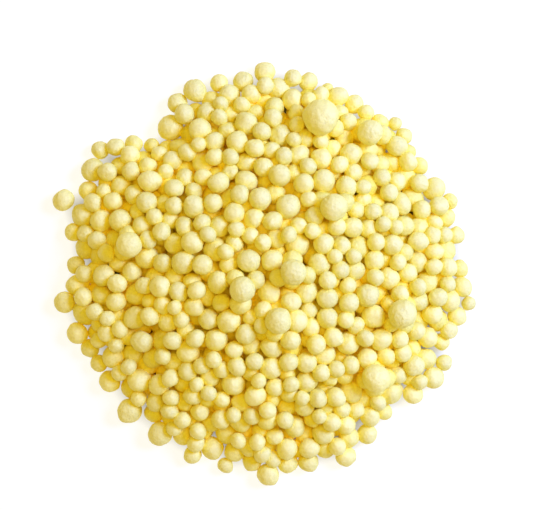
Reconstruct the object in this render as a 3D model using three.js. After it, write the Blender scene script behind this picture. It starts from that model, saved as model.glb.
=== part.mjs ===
// A small heap of granular sulfur: pale yellow granules a few millimetres across, poured on a flat surface.
// Millimetres, +Z up. The origin is under the middle of the heap, on the surface that it lies on.
import * as THREE from "three";
import { mergeVertices } from "three/addons/utils/BufferGeometryUtils.js";

// The heap as a whole
const crownHeight = 15.6; // highest tip that the poured granules reach, over the middle
const footHeight = 4.2; // highest tip that they reach at the heap's outline
const missesAtEnd = 500; // drops in a row with no room left, after which the heap is full

// The granules that are poured
const granuleWidth = 3.45; // mean width
const widthSpread = 0.42; // standard deviation of the width
const pouringWidth = 76; // width of the square over which they are dropped
const pouringSeed = 20117;
const leastApart = 0.62; // from above, from a granule at the foot, as a share of both radii together

// The granules that lie at the foot, clockwise from the left: x, y and width
const footGranules = [
  [-35.8, 13.1, 3.7],
  [-31.4, 14.7, 3.3],
  [-30.6, 18.5, 3.9],
  [-29.3, 22.0, 3.0],
  [-23.3, 23.1, 3.0],
  [-20.1, 22.7, 2.7],
  [-16.7, 26.0, 4.3],
  [-15.5, 30.4, 3.3],
  [-12.4, 32.6, 3.9],
  [-8.1, 34.0, 3.0],
  [-3.8, 34.2, 3.4],
  [0.1, 35.8, 3.5],
  [7.8, 34.2, 3.2],
  [11.2, 32.9, 2.1],
  [16.0, 30.2, 3.2],
  [20.5, 26.8, 3.1],
  [23.3, 26.7, 2.3],
  [24.9, 24.5, 2.7],
  [27.6, 19.2, 2.9],
  [30.2, 15.1, 3.9],
  [33.0, 12.9, 2.7],
  [32.3, 9.9, 3.2],
  [34.1, 6.9, 3.0],
  [34.7, 0.9, 3.0],
  [35.2, -2.4, 3.4],
  [36.4, -5.3, 2.4],
  [34.3, -7.6, 3.2],
  [31.5, -12.2, 2.9],
  [32.0, -15.9, 2.7],
  [30.1, -18.6, 3.6],
  [26.5, -21.4, 3.4],
  [21.3, -24.6, 2.8],
  [18.3, -28.6, 3.4],
  [14.5, -32.6, 3.5],
  [7.8, -33.5, 3.4],
  [4.2, -33.8, 3.4],
  [0.6, -35.8, 3.7],
  [-2.2, -33.5, 3.2],
  [-7.0, -34.2, 2.6],
  [-9.3, -31.1, 3.9],
  [-12.8, -32.3, 3.0],
  [-18.6, -28.5, 4.1],
  [-24.0, -24.4, 4.1],
  [-27.6, -19.2, 3.6],
  [-29.5, -16.0, 2.9],
  [-31.1, -13.3, 3.1],
  [-33.3, -10.6, 3.6],
  [-35.6, -5.1, 3.6],
  [-33.6, 1.5, 3.0],
  [-34.0, 7.4, 3.0],
];

// The larger granules that lie on top: width, and x and y where each one lands before it rolls into a hollow
const topGranules = [
  [5.1, 23.4, 6.0],
  [18.7, 23.1, 4.2],
  [23.2, -8.3, 4.7],
  [20.5, -18.5, 4.7],
  [11.4, 10.2, 4.5],
  [2.0, -7.4, 4.3],
  [-4.1, -3.0, 4.2],
  [3.9, 1.0, 4.2],
  [-21.1, 5.7, 4.2],
];

// The facets
const lumpiness = 0.04; // how far a loose granule's corners stand in or out, as a share of its radius
const clearance = 0.3; // space kept between the heap's solid and a granule at its foot
const tipRoom = 0.4; // and at least this much more to the tip of a poured granule
const hiddenShare = 0.3; // a granule shows if this share of its radius is clear all round its tip
const shoulderShare = 0.7; // where a cap turns from its crown to its side, as a share of its radius
const shoulderLimit = 0.72; // and never further out than this share of the way to the valley
const valleySlope = 1.2; // how fast a valley deepens past a granule's side
const steepness = 2 / granuleWidth; // how fast a cap falls away from its tip
const neighbourhood = 3 * granuleWidth; // caps further apart than this don't meet
const thinnest = 0.5; // least thickness of the heap's edge
const edgeSpacing = 1.6; // distance between the empty places round the heap
const grid = 0.02; // corners closer than about this are one, so that neighbouring caps share them
const flatness = 0.94; // a granule lies on its flatter side
const lift = 0.1; // keeps the corners of a granule on top clear of the caps under it
const footSeed = 101;
const topSeed = 433;

const yellow = new THREE.MeshStandardMaterial({
  color: 0xe9d57f,
  roughness: 0.9,
  metalness: 0,
  flatShading: true,
});

// Repeatable random numbers from 0 to 1.
const multiplier = 16807;
const modulus = 2147483647;

function randomFrom(seed) {
  let state = seed;
  return () => {
    state = (state * multiplier) % modulus;
    return state / modulus;
  };
}

// How far out a place is, from 0 at the middle to 1 on the outline through the granules at the foot.
function outwardShare(x, y) {
  for (let i = 0; i < footGranules.length; i++) {
    const [ax, ay] = footGranules[i];
    const [bx, by] = footGranules[(i + 1) % footGranules.length];
    if (ay * x - ax * y >= 0 && by * x - bx * y <= 0 && ax * x + ay * y > 0) {
      const ex = bx - ax;
      const ey = by - ay;
      return (ex * y - ey * x) / (ex * ay - ey * ax);
    }
  }
  return 0;
}

// The granules that have been placed, in square cells so that the near ones are quickly found.
const cellSize = 5.6;
const innerRadius = 28; // all places nearer the middle than this are inside the outline
const shortestStride = 0.01;
const sixthTurn = { cos: 0.5, sin: 0.8660254037844386 };
const slightTurn = { cos: 0.96, sin: 0.28 };

class Pile {
  constructor() {
    this.cells = new Map();
    this.granules = [];
  }

  add(granule) {
    const key = Math.floor(granule.x / cellSize) * 1000 + Math.floor(granule.y / cellSize);
    if (!this.cells.has(key)) this.cells.set(key, []);
    this.cells.get(key).push(granule);
    this.granules.push(granule);
  }

  near(x, y) {
    const column = Math.floor(x / cellSize);
    const row = Math.floor(y / cellSize);
    const found = [];
    for (let i = column - 1; i <= column + 1; i++) {
      for (let j = row - 1; j <= row + 1; j++) {
        for (const granule of this.cells.get(i * 1000 + j) ?? []) found.push(granule);
      }
    }
    return found;
  }

  // The height at which a granule's centre stops when it is lowered at a place.
  // Nothing lies far over the granules at the foot, or outside the outline.
  restingHeight(x, y, radius) {
    if (x * x + y * y > innerRadius * innerRadius && outwardShare(x, y) > 1) return Infinity;
    let height = radius;
    for (const other of this.near(x, y)) {
      const dx = x - other.x;
      const dy = y - other.y;
      const reach = radius + other.radius;
      const depth = reach * reach - dx * dx - dy * dy;
      if (depth > 0) {
        const apart = Math.max(leastApart * reach, other.radius + clearance + tipRoom);
        if (other.atFoot && dx * dx + dy * dy < apart * apart) return Infinity;
        const top = other.z + Math.sqrt(depth);
        if (top > height) height = top;
      }
    }
    return height;
  }

  // Rolls a granule downhill until it lies in a hollow, the nearest one if its strides are short.
  settle(startX, startY, radius, longestStride) {
    let x = startX;
    let y = startY;
    let z = this.restingHeight(x, y, radius);
    let stride = longestStride;
    let ux = 1;
    let uy = 0;
    while (stride > shortestStride) {
      let rolled = false;
      for (let turn = 0; turn < 6; turn++) {
        const nx = x + stride * ux;
        const ny = y + stride * uy;
        const nz = this.restingHeight(nx, ny, radius);
        const vx = sixthTurn.cos * ux - sixthTurn.sin * uy;
        uy = sixthTurn.sin * ux + sixthTurn.cos * uy;
        ux = vx;
        if (nz < z - 1e-6) {
          x = nx;
          y = ny;
          z = nz;
          rolled = true;
          break;
        }
      }
      if (!rolled) {
        stride = 0.5 * stride;
        const vx = slightTurn.cos * ux - slightTurn.sin * uy;
        uy = slightTurn.sin * ux + slightTurn.cos * uy;
        ux = vx;
      }
    }
    return { x, y, z, radius, atFoot: false };
  }
}

// Pours the heap: granules are dropped at random and roll to rest, until none fits under its rounded top.
function pour(pile) {
  const random = randomFrom(pouringSeed);
  let misses = 0;
  while (misses < missesAtEnd) {
    const x = pouringWidth * (random() - 0.5);
    const y = pouringWidth * (random() - 0.5);
    const spread = random() + random() + random() - 1.5;
    const radius = 0.5 * (granuleWidth + 2 * widthSpread * spread);
    if (outwardShare(x, y) > 1) continue;
    const granule = pile.settle(x, y, radius, 0.5 * radius);
    const out = outwardShare(granule.x, granule.y);
    const limit = footHeight + (crownHeight - footHeight) * (1 - out * out);
    if (granule.z + radius <= limit) {
      pile.add(granule);
      misses = 0;
    } else {
      misses += 1;
    }
  }
}

// Cuts a polygon of [x, y] points by the line a x + b y = c, and keeps the side where a x + b y is less.
function cutByLine(polygon, a, b, c) {
  const kept = [];
  for (let i = 0; i < polygon.length; i++) {
    const p = polygon[i];
    const q = polygon[(i + 1) % polygon.length];
    const dp = a * p[0] + b * p[1] - c;
    const dq = a * q[0] + b * q[1] - c;
    if (dp <= 0) kept.push(p);
    if ((dp < 0 && dq > 0) || (dp > 0 && dq < 0)) {
      const t = dp / (dp - dq);
      kept.push([p[0] + t * (q[0] - p[0]), p[1] + t * (q[1] - p[1])]);
    }
  }
  return kept;
}

// The line between two caps: it lies where both are equally high.
function lineBetween(site, other) {
  const a = 2 * steepness * (other.x - site.x);
  const b = 2 * steepness * (other.y - site.y);
  const squares = other.x * other.x + other.y * other.y - site.x * site.x - site.y * site.y;
  const c = steepness * squares + site.tip - other.tip;
  const length = Math.sqrt(a * a + b * b);
  return { a, b, c, distance: (c - a * site.x - b * site.y) / length };
}

// The granules whose tips show from above.
function showingCaps(granules) {
  const sites = granules.map((g) => ({ x: g.x, y: g.y, radius: g.radius, tip: g.z + g.radius }));
  return sites.filter((site) =>
    sites.every((other) => {
      if (other === site || Math.hypot(other.x - site.x, other.y - site.y) > neighbourhood) return true;
      return lineBetween(site, other).distance > hiddenShare * site.radius;
    }),
  );
}

// How high the heap's surface is in a valley between caps. Lower granules fill the hollows, and it
// stays below the granules that lie on top.
function valleyHeight(x, y, poured, onTop) {
  let height = thinnest;
  for (const granule of poured) {
    const away = Math.hypot(x - granule.x, y - granule.y) / granule.radius;
    const drop = away < 1 ? away * away : 1 + valleySlope * (away - 1);
    height = Math.max(height, granule.z + granule.radius * (1 - drop));
  }
  for (const granule of onTop) {
    const reach = granule.radius + clearance;
    const depth = reach ** 2 - (x - granule.x) ** 2 - (y - granule.y) ** 2;
    if (depth > 0) height = Math.min(height, granule.z - Math.sqrt(depth));
  }
  return height;
}

// Sites outside the heap's solid: the granules at its foot, each raised until it is clear of the caps
// beside it, and a ring of empty places that hugs the outline.
function surroundings(caps) {
  const sites = footGranules.map(([x, y, width]) => {
    let tip = width;
    const keep = width / 2 + clearance;
    for (const cap of caps) {
      const apart = Math.hypot(cap.x - x, cap.y - y);
      const clearTip = cap.tip - steepness * apart * (apart - 2 * keep);
      if (apart < 2 * granuleWidth) tip = Math.max(tip, clearTip);
    }
    return { x, y, tip };
  });
  footGranules.forEach(([ax, ay], i) => {
    const [bx, by] = footGranules[(i + 1) % footGranules.length];
    const length = Math.hypot(bx - ax, by - ay);
    const steps = Math.ceil(length / edgeSpacing);
    for (let step = 0; step < steps; step++) {
      const share = (step + 0.5) / steps;
      let x = ax + share * (bx - ax);
      let y = ay + share * (by - ay);
      const far = Math.hypot(x, y);
      const outX = x / far;
      const outY = y / far;
      while (caps.some((cap) => Math.hypot(cap.x - x, cap.y - y) < cap.radius + granuleWidth / 2)) {
        x += 0.1 * outX;
        y += 0.1 * outY;
      }
      sites.push({ x, y, tip: granuleWidth });
    }
  });
  return sites;
}

// The solid of the poured heap: one facetted cap for each granule that shows, on a flat foot.
function heapGeometry(poured, onTop) {
  const caps = showingCaps(poured);
  const sites = [...caps, ...surroundings(caps)];
  const corners = [];
  const places = new Map();
  const triangles = [];
  const rim = new Map();

  // The number of the corner at a place, which is a new one unless one of its kind is there already.
  const corner = (x, y, z, kind) => {
    const [i, j] = [Math.round(x / grid), Math.round(y / grid)];
    for (const di of [0, -1, 1]) {
      for (const dj of [0, -1, 1]) {
        const known = places.get(`${kind} ${i + di} ${j + dj}`);
        if (known !== undefined) return known;
      }
    }
    places.set(`${kind} ${i} ${j}`, corners.length);
    corners.push([i * grid, j * grid, z]);
    return corners.length - 1;
  };
  const triangle = (a, b, c) => {
    if (a !== b && b !== c && c !== a) triangles.push(a, b, c);
  };

  caps.forEach((cap, capNumber) => {
    const reach = neighbourhood;
    let cell = [
      [cap.x - reach, cap.y - reach],
      [cap.x + reach, cap.y - reach],
      [cap.x + reach, cap.y + reach],
      [cap.x - reach, cap.y + reach],
    ];
    for (const other of sites) {
      if (other === cap || Math.hypot(other.x - cap.x, other.y - cap.y) > 2 * reach) continue;
      const line = lineBetween(cap, other);
      cell = cutByLine(cell, line.a, line.b, line.c);
    }
    const tip = corner(cap.x, cap.y, cap.tip, `tip ${capNumber}`);
    const valley = cell.map(([x, y]) => corner(x, y, valleyHeight(x, y, poured, onTop), "valley"));
    const shoulder = cell.map(([x, y], i) => {
      const away = Math.hypot(x - cap.x, y - cap.y);
      const out = Math.min(shoulderShare * cap.radius, shoulderLimit * away);
      const z = cap.tip - cap.radius + Math.sqrt(cap.radius ** 2 - out ** 2);
      const share = out / away;
      const [sx, sy] = [cap.x + share * (x - cap.x), cap.y + share * (y - cap.y)];
      return corner(sx, sy, z, `shoulder ${capNumber} ${valley[i]}`);
    });
    for (let i = 0; i < cell.length; i++) {
      const j = (i + 1) % cell.length;
      if (valley[i] === valley[j]) continue;
      triangle(tip, shoulder[i], shoulder[j]);
      triangle(shoulder[i], valley[i], valley[j]);
      triangle(shoulder[i], valley[j], shoulder[j]);
      rim.set(`${valley[i]} ${valley[j]}`, [valley[i], valley[j]]);
    }
  });

  // The edges that no neighbour shares run round the outline, where walls drop to the surface.
  for (const [key, [a, b]] of [...rim]) {
    if (rim.has(`${b} ${a}`)) {
      rim.delete(key);
      rim.delete(`${b} ${a}`);
    }
  }
  const next = new Map([...rim.values()]);
  const outline = [];
  let at = [...next.keys()][0];
  while (next.has(at)) {
    outline.push(at);
    const following = next.get(at);
    next.delete(at);
    at = following;
  }
  if (next.size) throw new Error("the outline is in more than one loop");
  const foot = outline.map((k) => corner(corners[k][0], corners[k][1], 0, "foot"));
  outline.forEach((a, i) => {
    const j = (i + 1) % outline.length;
    triangle(outline[j], a, foot[i]);
    triangle(outline[j], foot[i], foot[j]);
  });
  const floor = foot.map((k) => new THREE.Vector2(corners[k][0], corners[k][1]));
  for (const [a, b, c] of THREE.ShapeUtils.triangulateShape(floor, [])) {
    triangle(foot[a], foot[c], foot[b]);
  }

  const geometry = new THREE.BufferGeometry();
  geometry.setAttribute("position", new THREE.Float32BufferAttribute(corners.flat(), 3));
  geometry.setIndex(triangles);
  return geometry;
}

// A loose granule: a rounded lump with flat facets, as wide as stated and standing on the level z = 0.
function granuleGeometry(width, height, seed) {
  const random = randomFrom(seed);
  const round = new THREE.DodecahedronGeometry(1);
  round.deleteAttribute("normal");
  round.deleteAttribute("uv");
  const lump = mergeVertices(round, 1e-4);
  const anyAngle = () => 2 * Math.PI * random();
  const turn = new THREE.Euler(anyAngle(), anyAngle(), anyAngle());
  const point = new THREE.Vector3();
  const position = lump.getAttribute("position");
  for (let i = 0; i < position.count; i++) {
    point.fromBufferAttribute(position, i).applyEuler(turn);
    point.multiplyScalar(1 + lumpiness * (2 * random() - 1));
    position.setXYZ(i, point.x, point.y, point.z);
  }
  lump.computeBoundingBox();
  const low = lump.boundingBox.min;
  const size = lump.boundingBox.getSize(new THREE.Vector3());
  lump.translate(-low.x - size.x / 2, -low.y - size.y / 2, -low.z);
  lump.scale(width / size.x, width / size.y, height / size.z);
  return lump;
}

const pile = new Pile();
for (const [x, y, width] of footGranules) {
  pile.add({ x, y, z: width / 2, radius: width / 2, atFoot: true });
}
pour(pile);
const poured = pile.granules.filter((granule) => !granule.atFoot);
const onTop = topGranules.map(([x, y, width]) => {
  const resting = pile.settle(x, y, width / 2, 0.1);
  pile.add(resting);
  return resting;
});

const sulfur = new THREE.Group();

const heap = new THREE.Mesh(heapGeometry(poured, onTop), yellow);
heap.name = "granule_heap";
sulfur.add(heap);

footGranules.forEach(([x, y, width], i) => {
  const granule = new THREE.Mesh(granuleGeometry(width, flatness * width, footSeed + i), yellow);
  granule.name = `foot_granule_${String(i + 1).padStart(2, "0")}`;
  granule.position.set(x, y, 0);
  sulfur.add(granule);
});

onTop.forEach(({ x, y, z, radius }, i) => {
  const granule = new THREE.Mesh(granuleGeometry(2 * radius, 2 * flatness * radius, topSeed + i), yellow);
  granule.name = `top_granule_${i + 1}`;
  granule.position.set(x, y, z - flatness * radius + lift);
  sulfur.add(granule);
});

export default sulfur;
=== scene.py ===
# Granular sulfur: a small heap of pale yellow granules on a pale floor, seen from straight above.
# Metres and +Z up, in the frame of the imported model. The pouring is worked out in millimetres.
import math
import random

import bmesh
import bpy
import numpy as np
from mathutils import Euler, Matrix, Vector


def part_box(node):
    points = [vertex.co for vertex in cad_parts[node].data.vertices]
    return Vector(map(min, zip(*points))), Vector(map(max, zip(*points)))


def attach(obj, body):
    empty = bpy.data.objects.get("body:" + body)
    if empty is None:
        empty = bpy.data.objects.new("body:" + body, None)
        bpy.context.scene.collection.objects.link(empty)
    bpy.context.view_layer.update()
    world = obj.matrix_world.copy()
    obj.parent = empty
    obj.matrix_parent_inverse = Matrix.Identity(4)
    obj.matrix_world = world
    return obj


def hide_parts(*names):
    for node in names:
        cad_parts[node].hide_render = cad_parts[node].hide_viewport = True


millimetre = 0.001

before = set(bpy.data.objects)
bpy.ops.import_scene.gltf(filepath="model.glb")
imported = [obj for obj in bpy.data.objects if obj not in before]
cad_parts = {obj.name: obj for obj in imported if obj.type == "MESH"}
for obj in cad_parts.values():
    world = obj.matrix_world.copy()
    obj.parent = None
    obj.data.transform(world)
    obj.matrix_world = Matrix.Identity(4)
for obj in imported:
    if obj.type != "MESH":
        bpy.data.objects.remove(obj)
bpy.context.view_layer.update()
bpy.ops.object.select_all(action="DESELECT")
print("frame:", len(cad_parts), "nodes")


# The camera

photoView = {
    "height": 0.54,  # of the camera over the floor, straight above the heap
    "middle": (0.00036, 0.00331),  # the point of the floor in the middle of the picture
    "lens": 204,
    "sensor": 36,
    "nearest": 0.01,  # what is nearer than this isn't seen
    "furthest": 20,
}


def placeCamera(view):
    x, y = view["middle"]
    bpy.ops.object.camera_add(location=(x, y, view["height"]), rotation=(0, 0, 0))
    camera = bpy.context.object
    camera.name = "photo_camera"
    camera.data.lens = view["lens"]
    camera.data.sensor_width = view["sensor"]
    camera.data.clip_start = view["nearest"]
    camera.data.clip_end = view["furthest"]
    bpy.context.scene.camera = camera


placeCamera(photoView)
print("camera: straight above the heap")


# The studio light

keyLight = {
    "place": (0.413, 0.167, 0.401),  # to the right of the picture and a little up
    "width": 0.30,
    "power": 2.25,
    "colour": (0.62, 1.0, 2.9),  # cool, against the warm light from the top and the sky
}

topLight = {
    "place": (0.04, 0.03, 0.62),  # beside the camera, so that it reaches between the granules
    "width": 0.24,
    "power": 1.05,
    "colour": (0.98, 0.77, 0.12),
}

sky = {
    "colour": (0.98, 0.73, 0.06),
    "strength": 0.48,
    "bounces": 32,  # light that bounces this often gives the gaps between the granules their colour
}


def placeLight(name, source):
    turn = (-Vector(source["place"])).to_track_quat("-Z", "Y").to_euler()
    bpy.ops.object.light_add(type="AREA", location=source["place"], rotation=turn)
    light = bpy.context.object
    light.name = name
    light.data.shape = "DISK"
    light.data.size = source["width"]
    light.data.energy = source["power"]
    light.data.color = source["colour"]


def lightSky(source):
    world = bpy.data.worlds.new("studio")
    bpy.context.scene.world = world
    world.use_nodes = True
    background = world.node_tree.nodes["Background"]
    background.inputs["Color"].default_value = (*source["colour"], 1)
    background.inputs["Strength"].default_value = source["strength"]
    bpy.context.scene.cycles.max_bounces = source["bounces"]
    bpy.context.scene.cycles.diffuse_bounces = source["bounces"]


placeLight("key_light", keyLight)
placeLight("top_light", topLight)
lightSky(sky)
bpy.context.scene.view_settings.view_transform = "Standard"
print("light: two lamps and the sky")


# The pouring: where each granule of the heap lies. Millimetres.

pouring = {
    "crownHeight": 15.6,  # highest tip of the poured granules, over the middle
    "footHeight": 4.2,  # highest tip of them at the outline
    "missesAtEnd": 500,  # drops in a row with no room left, after which the heap is full
    "granuleWidth": 3.45,
    "widthSpread": 0.42,
    "dropWidth": 76,  # width of the square over which they are dropped
    "seed": 20117,
    "leastApart": 0.62,  # from above, from a granule at the foot, as a share of both radii together
    "clearance": 0.3,  # and this much, with tipRoom, from its side to the tip of a poured granule
    "tipRoom": 0.4,
    "cell": 5.6,  # width of the squares in which a granule's neighbours are looked up
    "innerRadius": 28,  # all places nearer the middle than this are inside the outline
    "shortestStride": 0.01,
    "leastDrop": 1e-6,
    "directions": 6,  # that a rolling granule tries before its stride is halved
    "sixthTurn": (0.5, 0.8660254037844386),  # cosine and sine of the turn from one to the next
    "slightTurn": (0.96, 0.28),  # and of the turn when the stride is halved
}


def repeatableNumbers(seed):
    factor, modulus = 16807, 2147483647
    state = seed
    while True:
        state = (state * factor) % modulus
        yield state / modulus


def footFromFrame(name):
    low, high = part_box(name)
    middle = (low + high) / 2
    width = high.x - low.x
    return [round(value / millimetre, 1) for value in (middle.x, middle.y, width)]


def outlineEdges(places):
    return [(a[0], a[1], b[0], b[1]) for a, b in zip(places, places[1:] + places[:1])]


# How far out a place is, from 0 at the middle to 1 on the outline through the granules at the foot.
def outwardShare(edges, x, y):
    for ax, ay, bx, by in edges:
        if ay * x - ax * y >= 0 and by * x - bx * y <= 0 and ax * x + ay * y > 0:
            ex = bx - ax
            ey = by - ay
            return (ex * y - ey * x) / (ex * ay - ey * ax)
    return 0


class Pile:
    def __init__(self, edges, rules):
        self.edges = edges
        self.rules = rules
        self.cells = {}
        self.granules = []

    def add(self, granule):
        size = self.rules["cell"]
        key = (math.floor(granule[0] / size), math.floor(granule[1] / size))
        self.cells.setdefault(key, []).append(granule)
        self.granules.append(granule)

    def near(self, x, y):
        size = self.rules["cell"]
        column = math.floor(x / size)
        row = math.floor(y / size)
        found = []
        for i in range(column - 1, column + 2):
            for j in range(row - 1, row + 2):
                found += self.cells.get((i, j), ())
        return found

    # The height at which a granule's centre stops when it is lowered at a place.
    def restingHeight(self, x, y, radius):
        rules = self.rules
        inner = rules["innerRadius"]
        if x * x + y * y > inner * inner and outwardShare(self.edges, x, y) > 1:
            return math.inf
        height = radius
        for ox, oy, oz, otherRadius, atFoot in self.near(x, y):
            dx = x - ox
            dy = y - oy
            reach = radius + otherRadius
            depth = reach * reach - dx * dx - dy * dy
            if depth > 0:
                clear = otherRadius + rules["clearance"] + rules["tipRoom"]
                apart = max(rules["leastApart"] * reach, clear)
                if atFoot and dx * dx + dy * dy < apart * apart:
                    return math.inf
                height = max(height, oz + math.sqrt(depth))
        return height

    # Rolls a granule downhill until it lies in a hollow.
    def settle(self, x, y, radius):
        rules = self.rules
        turnCos, turnSin = rules["sixthTurn"]
        slightCos, slightSin = rules["slightTurn"]
        z = self.restingHeight(x, y, radius)
        stride = 0.5 * radius
        ux, uy = 1.0, 0.0
        while stride > rules["shortestStride"]:
            rolled = False
            for _ in range(rules["directions"]):
                nx = x + stride * ux
                ny = y + stride * uy
                nz = self.restingHeight(nx, ny, radius)
                ux, uy = turnCos * ux - turnSin * uy, turnSin * ux + turnCos * uy
                if nz < z - rules["leastDrop"]:
                    x, y, z = nx, ny, nz
                    rolled = True
                    break
            if not rolled:
                stride = 0.5 * stride
                ux, uy = slightCos * ux - slightSin * uy, slightSin * ux + slightCos * uy
        return (x, y, z, radius, False)


def pourGranules(pile, rules):
    numbers = repeatableNumbers(rules["seed"])
    misses = 0
    while misses < rules["missesAtEnd"]:
        x = rules["dropWidth"] * (next(numbers) - 0.5)
        y = rules["dropWidth"] * (next(numbers) - 0.5)
        spread = next(numbers) + next(numbers) + next(numbers) - 1.5
        radius = 0.5 * (rules["granuleWidth"] + 2 * rules["widthSpread"] * spread)
        if outwardShare(pile.edges, x, y) > 1:
            continue
        granule = pile.settle(x, y, radius)
        out = outwardShare(pile.edges, granule[0], granule[1])
        limit = rules["footHeight"] + (rules["crownHeight"] - rules["footHeight"]) * (1 - out * out)
        if granule[2] + radius <= limit:
            pile.add(granule)
            misses = 0
        else:
            misses += 1


footNames = sorted(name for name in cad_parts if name.startswith("foot_granule_"))
topNames = sorted(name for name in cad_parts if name.startswith("top_granule_"))
footPlaces = [footFromFrame(name) for name in footNames]
pile = Pile(outlineEdges(footPlaces), pouring)
for x, y, width in footPlaces:
    pile.add((x, y, width / 2, width / 2, True))
pourGranules(pile, pouring)
poured = [granule[:4] for granule in pile.granules if not granule[4]]
highest = max(z + radius for x, y, z, radius in poured)
meanWidth = sum(2 * radius for x, y, z, radius in poured) / len(poured)
print(f"pouring: {len(poured)} granules {meanWidth:.3f} mm wide, highest tip {highest:.2f} mm")


# The floor: white paper that glows as though lit from below, with no glow where the heap stands on it: a
# painted shadow under its foot

paper = {
    "width": 6.0,
    "colour": (0.2, 0.2, 0.2),
    "roughness": 0.9,
    "glow": 0.84,
    "paintedShadowShare": 0.85,  # of the way out to the granules at the foot, up to where it has no glow: painted shadow
    "paintedShadowEndShare": 1.03,  # and from where it has all of it, past the painted shadow
}


def addAttribute(nodes, name):
    attribute = nodes.new("ShaderNodeAttribute")
    attribute.attribute_name = name
    return attribute


def makePaper(sheet):
    material = bpy.data.materials.new("white paper")
    material.use_nodes = True
    nodes = material.node_tree.nodes
    shader = nodes["Principled BSDF"]
    shader.inputs["Base Color"].default_value = (*sheet["colour"], 1)
    shader.inputs["Roughness"].default_value = sheet["roughness"]
    shader.inputs["Emission Strength"].default_value = sheet["glow"]
    glow = addAttribute(nodes, "glow")
    material.node_tree.links.new(glow.outputs["Fac"], shader.inputs["Emission Color"])
    return material


# Its rings of corners follow the foot of the heap: up to the first it has no glow, a painted shadow, from
# the second on all.
def layFloor(sheet, foot):
    count = len(foot)
    furthest = max(math.hypot(x, y) for x, y, width in foot) * millimetre
    shares = (sheet["paintedShadowShare"], sheet["paintedShadowEndShare"], sheet["width"] / 2 / furthest)
    corners = [(0, 0, 0)]
    faces = []
    for ring, share in enumerate(shares):
        corners += [(share * x * millimetre, share * y * millimetre, 0) for x, y, width in foot]
        for number in range(count):
            here = 1 + ring * count + number
            after = 1 + ring * count + (number + 1) % count
            if ring == 0:
                faces.append((0, after, here))
            else:
                faces.append((after - count, after, here, here - count))
    mesh = bpy.data.meshes.new("pale_floor")
    mesh.from_pydata(corners, [], faces)
    glow = mesh.attributes.new("glow", "FLOAT", "POINT")
    # no glow inside the first ring: the painted shadow under the heap
    glow.data.foreach_set("value", [0] * (1 + count) + [1] * (2 * count))
    mesh.materials.append(makePaper(sheet))
    floor = bpy.data.objects.new("pale_floor", mesh)
    bpy.context.collection.objects.link(floor)


layFloor(paper, footPlaces)
print("floor: white paper under the heap")


# The forms of granule: rounded lumps of radius 1, with soft flats, bulges and dimples

granuleForms = {
    "kinds": 24,
    "largeKinds": 9,  # one for each of the larger granules on top
    "largeRounds": 5,  # of subdivision
    "fineRounds": 4,
    "plainRounds": 3,
    "firstSeed": 7000,
    "apart": 10,  # from one kind to the next, because the textures differ from place to place
    "stretch": 0.09,  # how far a granule is from round
    "flats": {"count": 5, "height": -0.09, "leastShare": 0.3, "reach": 0.85},
    "bulges": {"count": 2, "height": 0.13, "leastShare": 0.2, "reach": 0.7},
    "dimples": {"count": 4, "height": -0.05, "leastShare": 0.3, "reach": 0.28},
    "lumpScale": 0.75,
    "lumpHeight": 0.08,
    "grainScale": 0.26,
    "grainHeight": 0.07,
}


def anyDirection(dice):
    z = dice.uniform(-1, 1)
    angle = dice.uniform(0, 2 * math.pi)
    flat = math.sqrt(1 - z * z)
    return Vector((flat * math.cos(angle), flat * math.sin(angle), z))


# Pushes the surface out along a direction, or in, and takes the surface around with it.
def pushSurface(granule, direction, distance, reach):
    bpy.ops.mesh.select_all(action="DESELECT")
    mesh = bmesh.from_edit_mesh(granule.data)
    nearest = max(mesh.verts, key=lambda vertex: vertex.co.normalized().dot(direction))
    nearest.select = True
    mesh.select_flush_mode()
    bmesh.update_edit_mesh(granule.data)
    bpy.ops.transform.translate(
        value=direction * distance,
        use_proportional_edit=True,
        proportional_edit_falloff="SMOOTH",
        proportional_size=reach,
    )


def addDisplace(granule, texture, height):
    displace = granule.modifiers.new(texture.name, "DISPLACE")
    displace.texture = texture
    displace.texture_coords = "GLOBAL"
    displace.strength = height
    displace.mid_level = 0.5
    bpy.ops.object.modifier_apply(modifier=displace.name)


def cloudTexture(name, scale):
    texture = bpy.data.textures.new(name, "CLOUDS")
    texture.noise_scale = scale
    texture.noise_depth = 1
    return texture


def modelGranule(kind, rounds, forms):
    dice = random.Random(forms["firstSeed"] + kind)
    place = (forms["apart"] * kind, 0, 0)
    bpy.ops.mesh.primitive_ico_sphere_add(subdivisions=rounds, radius=1, location=place)
    granule = bpy.context.object
    granule.name = f"form_{kind}_{rounds}"
    bpy.ops.object.mode_set(mode="EDIT")
    bpy.ops.mesh.select_all(action="SELECT")
    stretch = forms["stretch"]
    bpy.ops.transform.resize(value=[1 + dice.uniform(-stretch, stretch) for _ in range(3)])
    for push in (forms["flats"], forms["bulges"], forms["dimples"]):
        for _ in range(push["count"]):
            distance = push["height"] * dice.uniform(push["leastShare"], 1)
            pushSurface(granule, anyDirection(dice), distance, push["reach"])
    bpy.ops.object.mode_set(mode="OBJECT")
    addDisplace(granule, lumps, forms["lumpHeight"])
    addDisplace(granule, grains, forms["grainHeight"])
    bpy.ops.object.shade_smooth()
    bpy.ops.object.origin_set(type="ORIGIN_CENTER_OF_VOLUME", center="MEDIAN")
    granule.location = (0, 0, 0)
    corners = np.array([vertex.co for vertex in granule.data.vertices])
    granule.data.transform(Matrix.Scale(1 / np.linalg.norm(corners, axis=1).mean(), 4))
    granule.select_set(False)
    return granule


def modelKinds(count, rounds):
    return [modelGranule(kind, rounds, granuleForms) for kind in range(count)]


lumps = cloudTexture("lump", granuleForms["lumpScale"])
grains = cloudTexture("grain", granuleForms["grainScale"])
largeForms = modelKinds(granuleForms["largeKinds"], granuleForms["largeRounds"])
fineForms = modelKinds(granuleForms["kinds"], granuleForms["fineRounds"])
plainForms = modelKinds(granuleForms["kinds"], granuleForms["plainRounds"])
print("forms:", len(largeForms), "large,", len(fineForms), "fine and", len(plainForms), "plain")


# Colour and finish of the sulfur

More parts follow.
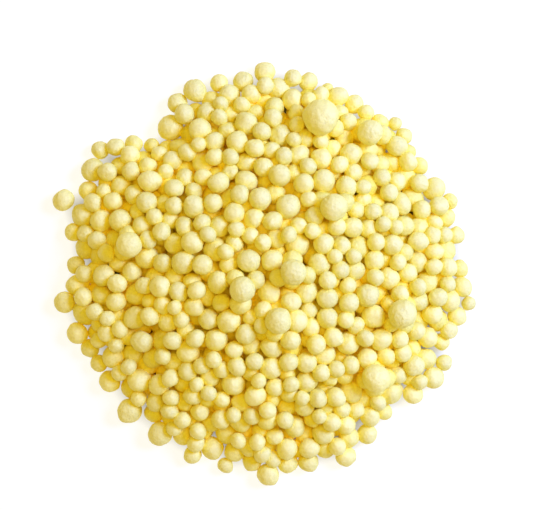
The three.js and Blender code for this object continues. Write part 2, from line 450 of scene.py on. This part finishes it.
sulfurFinish = {
    "openColour": (0.97, 0.89, 0.35),  # of the chalky crust: the sulfur's own colour where nothing stands over it and no shade is painted
    # painted shade on the sides and undersides of granules
    "paintedSideShadeColour": (0.97, 0.87, 0.22),
    "paintedDeepShadeColour": (0.98, 0.83, 0.09),  # painted shade between granules
    # how much filled space over a place gives the painted side shade and the painted deep shade
    "paintedSideShadeAt": 0.45,
    "paintedDeepShadeAt": 0.99,
    "mottleWidth": 0.36 * millimetre,
    "mottleDetail": 3,
    "mottleStrength": 0.16,
    "mottleHeight": 0.14 * millimetre,
    "speckWidth": 0.16 * millimetre,
    "speckDetail": 2,
    "speckHeight": 0.075 * millimetre,
    "tintStrength": 0.05,
    "roughness": 0.58,
    "density": 1.7,  # index of refraction
}


def addNoise(nodes, link, place, width, detail):
    noise = nodes.new("ShaderNodeTexNoise")
    noise.inputs["Scale"].default_value = 1 / width
    noise.inputs["Detail"].default_value = detail
    link(place.outputs["Object"], noise.inputs["Vector"])
    return noise


def addBump(nodes, link, noise, height):
    bump = nodes.new("ShaderNodeBump")
    bump.inputs["Distance"].default_value = height
    link(noise.outputs["Fac"], bump.inputs["Height"])
    return bump


def addBrightness(nodes, link, share, strength):
    brightness = nodes.new("ShaderNodeMapRange")
    brightness.inputs["To Min"].default_value = 1 - strength
    brightness.inputs["To Max"].default_value = 1 + strength
    link(share, brightness.inputs["Value"])
    return brightness


def makeSulfur(finish):
    material = bpy.data.materials.new("chalky sulfur")
    material.use_nodes = True
    nodes = material.node_tree.nodes
    link = material.node_tree.links.new
    shader = nodes["Principled BSDF"]
    shader.inputs["Roughness"].default_value = finish["roughness"]
    shader.inputs["IOR"].default_value = finish["density"]
    place = nodes.new("ShaderNodeTexCoord")
    mottle = addNoise(nodes, link, place, finish["mottleWidth"], finish["mottleDetail"])
    speck = addNoise(nodes, link, place, finish["speckWidth"], finish["speckDetail"])

    # painted shade: pale where a granule is open to the sky, deep yellow where others stand close
    ramp = nodes.new("ShaderNodeValToRGB")
    ramp.color_ramp.elements[0].color = (*finish["openColour"], 1)
    ramp.color_ramp.elements[1].position = finish["paintedDeepShadeAt"]
    ramp.color_ramp.elements[1].color = (*finish["paintedDeepShadeColour"], 1)
    ramp.color_ramp.interpolation = "EASE"
    side = ramp.color_ramp.elements.new(finish["paintedSideShadeAt"])
    side.color = (*finish["paintedSideShadeColour"], 1)
    link(addAttribute(nodes, "paintedShade").outputs["Fac"], ramp.inputs["Fac"])

    # each granule is a little lighter or darker, and so are small patches on it
    tint = addAttribute(nodes, "tint")
    whole = addBrightness(nodes, link, tint.outputs["Fac"], finish["tintStrength"])
    patches = addBrightness(nodes, link, mottle.outputs["Fac"], finish["mottleStrength"])
    brightness = nodes.new("ShaderNodeMath")
    brightness.operation = "MULTIPLY"
    link(whole.outputs["Result"], brightness.inputs[0])
    link(patches.outputs["Result"], brightness.inputs[1])
    colour = nodes.new("ShaderNodeVectorMath")
    colour.operation = "SCALE"
    link(ramp.outputs["Color"], colour.inputs[0])
    link(brightness.outputs["Value"], colour.inputs["Scale"])
    link(colour.outputs["Vector"], shader.inputs["Base Color"])

    # a rough crust
    mottleRelief = addBump(nodes, link, mottle, finish["mottleHeight"])
    speckRelief = addBump(nodes, link, speck, finish["speckHeight"])
    link(mottleRelief.outputs["Normal"], speckRelief.inputs["Normal"])
    link(speckRelief.outputs["Normal"], shader.inputs["Normal"])
    return material


sulfur = makeSulfur(sulfurFinish)
print("material: chalky sulfur")


# A granule in its place, and how much of the space over it others fill, which is painted into its colour
# as shade. Places in millimetres.

paintedShadeRules = {
    "reach": 6.5,  # a granule further than this casts no shade worth counting
    "tipShare": 0.9,  # a granule's painted shade follows the space filled over its tip this much
    "cornerShare": 0.6,  # and that over each place on it this much
}


def looseFromFrame(name):
    low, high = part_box(name)
    middle = (low + high) / 2 / millimetre
    return (middle.x, middle.y, middle.z, (high.x - low.x) / 2 / millimetre)


loosePlaces = {name: looseFromFrame(name) for name in footNames + topNames}
everyGranule = np.array(poured + list(loosePlaces.values()))


def neighbours(granule, reach):
    away = np.linalg.norm(everyGranule[:, :3] - np.array(granule[:3]), axis=1)
    return everyGranule[(away < reach) & (away > 0)]


def depthBelowSurface(granule):
    x, y, z, radius = granule
    away = np.hypot(everyGranule[:, 0] - x, everyGranule[:, 1] - y)
    over = everyGranule[away < everyGranule[:, 3]]
    return (over[:, 2] + over[:, 3]).max() - (z + radius)


# How much of the space over each corner other granules fill, from 0 to 1: the painted shade.
def sheltered(corners, normals, near, sideShade):
    # painted shade on the underside of every granule, the more the further it faces down
    filled = sideShade * (1 - normals[:, 2]) / 2
    for x, y, z, radius in near:
        away = np.array((x, y, z)) - corners
        distance = np.linalg.norm(away, axis=1)
        facing = np.clip((away * normals).sum(axis=1) / distance, 0, 1)
        filled += facing * np.clip(radius / distance, 0, 1) ** 2
    return np.clip(filled, 0, 1)


def anyTurn(dice):
    return Euler([dice.uniform(0, 2 * math.pi) for _ in range(3)])


def copyGranule(form, place, radius, turn):
    granule = form.copy()
    granule.data = form.data.copy()
    turned = turn.to_matrix().to_4x4() @ Matrix.Scale(radius, 4)
    granule.data.transform(Matrix.Translation(place) @ turned)
    lowest = min(vertex.co.z for vertex in granule.data.vertices)
    granule.data.transform(Matrix.Translation((0, 0, max(0, -lowest))))  # none sinks into the floor
    bpy.context.collection.objects.link(granule)
    granule.data.materials.clear()
    granule.data.materials.append(sulfur)
    return granule


def readCorners(mesh, name):
    values = np.empty(3 * len(mesh.vertices))
    mesh.vertices.foreach_get(name, values)
    return values.reshape(-1, 3)


def addShare(mesh, name, values):
    shares = mesh.attributes.new(name, "FLOAT", "POINT")
    shares.data.foreach_set("value", values)


def markGranule(granule, place, tint, sideShade, leastPaintedShade):
    x, y, z, radius = place
    mesh = granule.data
    near = neighbours(place, paintedShadeRules["reach"])
    corners = readCorners(mesh, "co") / millimetre
    normals = readCorners(mesh, "normal")
    overTip = sheltered(np.array([[x, y, z + radius]]), np.array([[0, 0, 1]]), near, sideShade)[0]
    overTip = max(overTip, leastPaintedShade)
    overCorners = sheltered(corners, normals, near, sideShade)
    # painted shade: deeper yellow where other granules stand close over a place
    paintedShade = paintedShadeRules["tipShare"] * overTip + paintedShadeRules["cornerShare"] * overCorners
    addShare(mesh, "paintedShade", paintedShade)
    addShare(mesh, "tint", np.full(len(mesh.vertices), tint))


def finishPiece(piece, node):
    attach(piece, "root")
    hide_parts(node)


# The poured granules, which stand in for the heap's solid

heap = {
    "seed": 31,
    "sectors": 5,
    "swell": 1.06,  # the lumps are this much wider than the balls that were poured
    "deepSwell": 1.22,  # and those at hiddenDepth this much
    "lowSwell": 0.06,  # and those on the floor this much more
    "lowHeight": 3.0,  # up to where that fades out, in millimetres
    "evenness": 0.25,  # how far small and large ones are brought to the mean width
    "hiddenDepth": 4.0,  # a granule this far below the heap's surface hardly shows, in millimetres
    "sideShade": 0.7,  # painted shade that the rest of the heap adds on a granule's underside
    "leastPaintedShade": 0.1,  # the least painted shade over a granule's tip
}


def joinGranules(granules, name):
    bpy.ops.object.select_all(action="DESELECT")
    for granule in granules:
        granule.select_set(True)
    bpy.context.view_layer.objects.active = granules[0]
    bpy.ops.object.join()
    joined = bpy.context.object
    joined.name = name
    joined.data.name = name
    joined.select_set(False)
    return joined


def fillHeap(rules):
    dice = random.Random(rules["seed"])
    sectors = {}
    inside = []
    for granule in poured:
        x, y, z, radius = granule
        depth = depthBelowSurface(granule) / rules["hiddenDepth"]
        hidden = depth > 1
        form = dice.choice(plainForms if hidden else fineForms)
        swell = rules["swell"] + (rules["deepSwell"] - rules["swell"]) * min(depth, 1)
        swell += rules["lowSwell"] * max(0, 1 - (z - radius) / rules["lowHeight"])
        size = swell * (radius + rules["evenness"] * (meanWidth / 2 - radius)) * millimetre
        copy = copyGranule(form, Vector((x, y, z)) * millimetre, size, anyTurn(dice))
        markGranule(copy, granule, dice.random(), rules["sideShade"], rules["leastPaintedShade"])
        if hidden:
            inside.append(copy)
        else:
            share = (math.atan2(y, x) / (2 * math.pi)) % 1
            sectors.setdefault(int(share * rules["sectors"]), []).append(copy)
    print("heap:", sum(map(len, sectors.values())), "granules show and", len(inside), "are inside")
    pieces = [joinGranules(inside, "poured_granules_inside")]
    for sector, granules in sorted(sectors.items()):
        pieces.append(joinGranules(granules, f"poured_granules_{sector + 1}"))
    return pieces


for piece in fillHeap(heap):
    finishPiece(piece, "granule_heap")


# The loose granules, one piece each, in the place of their solids

looseGranules = {
    "seed": 53,
    "swell": 0.08,  # what they gain to each side and on top, as a share of the radius
    "sideShade": 1.0,  # painted shade on the underside, more than in the heap, because few others stand near
    "leastPaintedShade": 0.1,
    "topLeastPaintedShade": 0.14,  # the least painted shade over the larger ones on top
}


def fitToBox(granule, low, high):
    corners = np.array([vertex.co for vertex in granule.data.vertices])
    lowest, highest = corners.min(axis=0), corners.max(axis=0)
    toMiddle = Matrix.Translation(-Vector((lowest + highest) / 2))
    scale = [wanted / found for wanted, found in zip(high - low, highest - lowest)]
    toBox = Matrix.Translation((low + high) / 2) @ Matrix.Diagonal((*scale, 1)) @ toMiddle
    granule.data.transform(toBox)


def placeLoose(rules):
    dice = random.Random(rules["seed"])
    for name, place in loosePlaces.items():
        onTop = name in topNames
        low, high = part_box(name)
        middle = (low + high) / 2
        margin = rules["swell"] * (high.x - low.x) / 2
        low, high = low - Vector((margin, margin, 0)), high + Vector((margin, margin, margin))
        form = largeForms[topNames.index(name)] if onTop else dice.choice(fineForms)
        granule = copyGranule(form, middle, (high.x - low.x) / 2, anyTurn(dice))
        fitToBox(granule, low, high)
        leastPaintedShade = rules["topLeastPaintedShade" if onTop else "leastPaintedShade"]
        markGranule(granule, place, dice.random(), rules["sideShade"], leastPaintedShade)
        granule.name = name.replace("granule", "grain")
        granule.data.name = granule.name
        finishPiece(granule, name)


placeLoose(looseGranules)
print("loose granules:", len(loosePlaces))

for form in largeForms + fineForms + plainForms:
    bpy.data.objects.remove(form)
